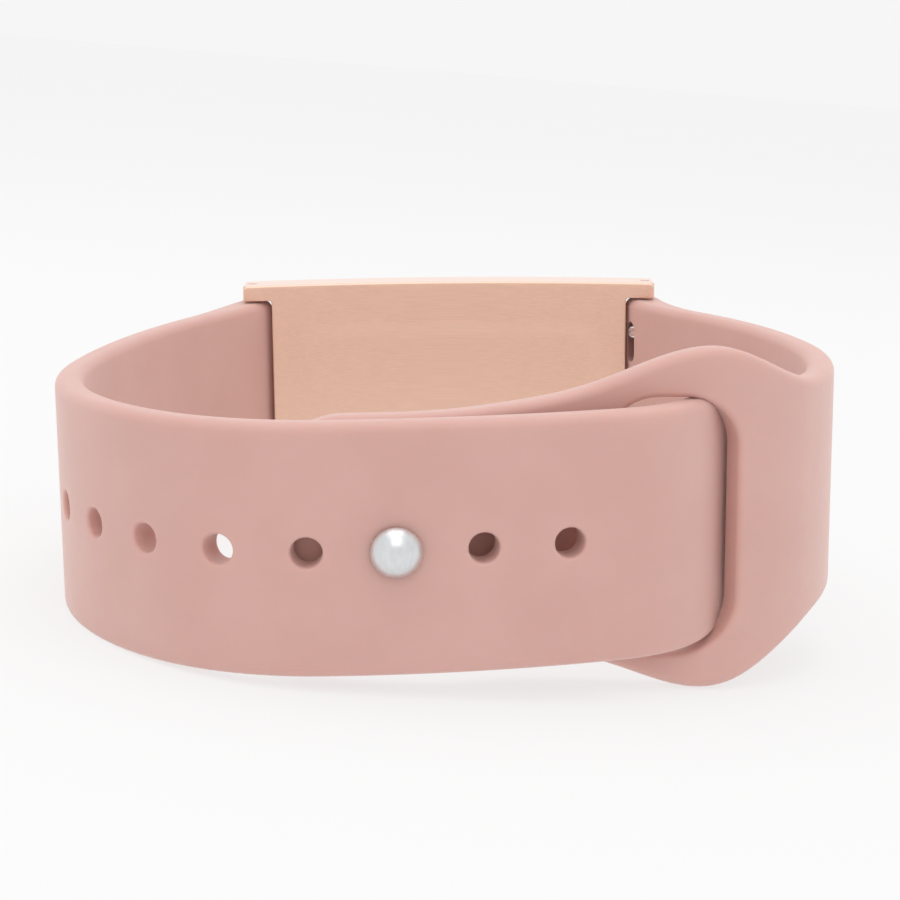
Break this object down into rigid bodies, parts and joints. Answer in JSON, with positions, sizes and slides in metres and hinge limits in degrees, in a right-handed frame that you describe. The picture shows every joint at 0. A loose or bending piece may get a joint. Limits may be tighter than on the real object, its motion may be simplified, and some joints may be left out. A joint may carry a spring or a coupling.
{
  "type": "fitness tracker band",
  "caption": "Slim curved tracker case on a silicone pin-and-tuck wrist strap, with quick-release spring bars that let each strap half swing and come off.",
  "frame": {"origin": "centre of the bounding box in plan, at the lowest point of the slot's swell, the band standing on its edge", "axes": "+Z along the strap's width, +Y from the clasp towards the case, +X along the case from the long strap's bar to the short strap's bar"},
  "size_m": [0.0678, 0.0727, 0.028],
  "materials": {
    "silicone": "matt dusty-pink silicone",
    "rose_gold": "satin rose-gold, anodised",
    "rose_gold_brushed": "brushed along the length, rose-gold",
    "steel": "polished stainless steel",
    "spring_steel": "bright spring wire",
    "gold_contact": "gold-plated contact",
    "lens_glass": "dark cover glass with rounded edges",
    "display": "black display stack",
    "gasket": "black sealing rubber",
    "carrier": "moulded carrier",
    "board": "green solder mask",
    "chip": "moulded chip package",
    "can": "tinned shield can",
    "cell": "foil pouch",
    "ribbon": "amber polyimide"
  },
  "bodies": {
    "case": {"case_frame": "rose_gold", "back_cover": "rose_gold_brushed", "charge_pads": "gold_contact", "back_gasket": "gasket", "lens": "lens_glass", "lens_gasket": "gasket", "display_module": "display", "mid_plate": "carrier", "battery_cell": "cell", "main_board": "board", "processor_can": "can", "motion_sensor": "chip", "vibration_motor": "steel", "antenna": "gold_contact", "flex_cable": "ribbon"},
    "long_strap": {"long_strap": "silicone", "left_bar_tube": "steel", "left_bar_fixed_tip": "steel", "left_bar_spring": "spring_steel"},
    "short_strap": {"short_strap": "silicone", "clasp_stud": "steel", "right_bar_tube": "steel", "right_bar_fixed_tip": "steel", "right_bar_spring": "spring_steel"},
    "left_plunger": {"left_bar_plunger": "steel", "left_bar_knob": "steel"},
    "right_plunger": {"right_bar_plunger": "steel", "right_bar_knob": "steel"}
  },
  "joints": [
    {"name": "long_strap_swing", "type": "hinge", "parent": "case", "child": "long_strap", "pos_m": [-0.0208, 0.03175, 0.014], "axis": [0, 0, -1], "range_deg": [0, 65], "deforming": ["long_strap"]},
    {"name": "short_strap_swing", "type": "hinge", "parent": "case", "child": "short_strap", "pos_m": [0.0208, 0.03175, 0.014], "axis": [0, 0, 1], "range_deg": [0, 65], "deforming": ["short_strap"]},
    {"name": "left_release", "type": "slide", "parent": "long_strap", "child": "left_plunger", "axis": [0, 0, 1], "range_m": [0, 0.002], "stiffness_N_per_m": 300, "deforming": ["left_bar_spring"]},
    {"name": "right_release", "type": "slide", "parent": "short_strap", "child": "right_plunger", "axis": [0, 0, -1], "range_m": [0, 0.002], "stiffness_N_per_m": 300, "deforming": ["right_bar_spring"]}
  ]
}
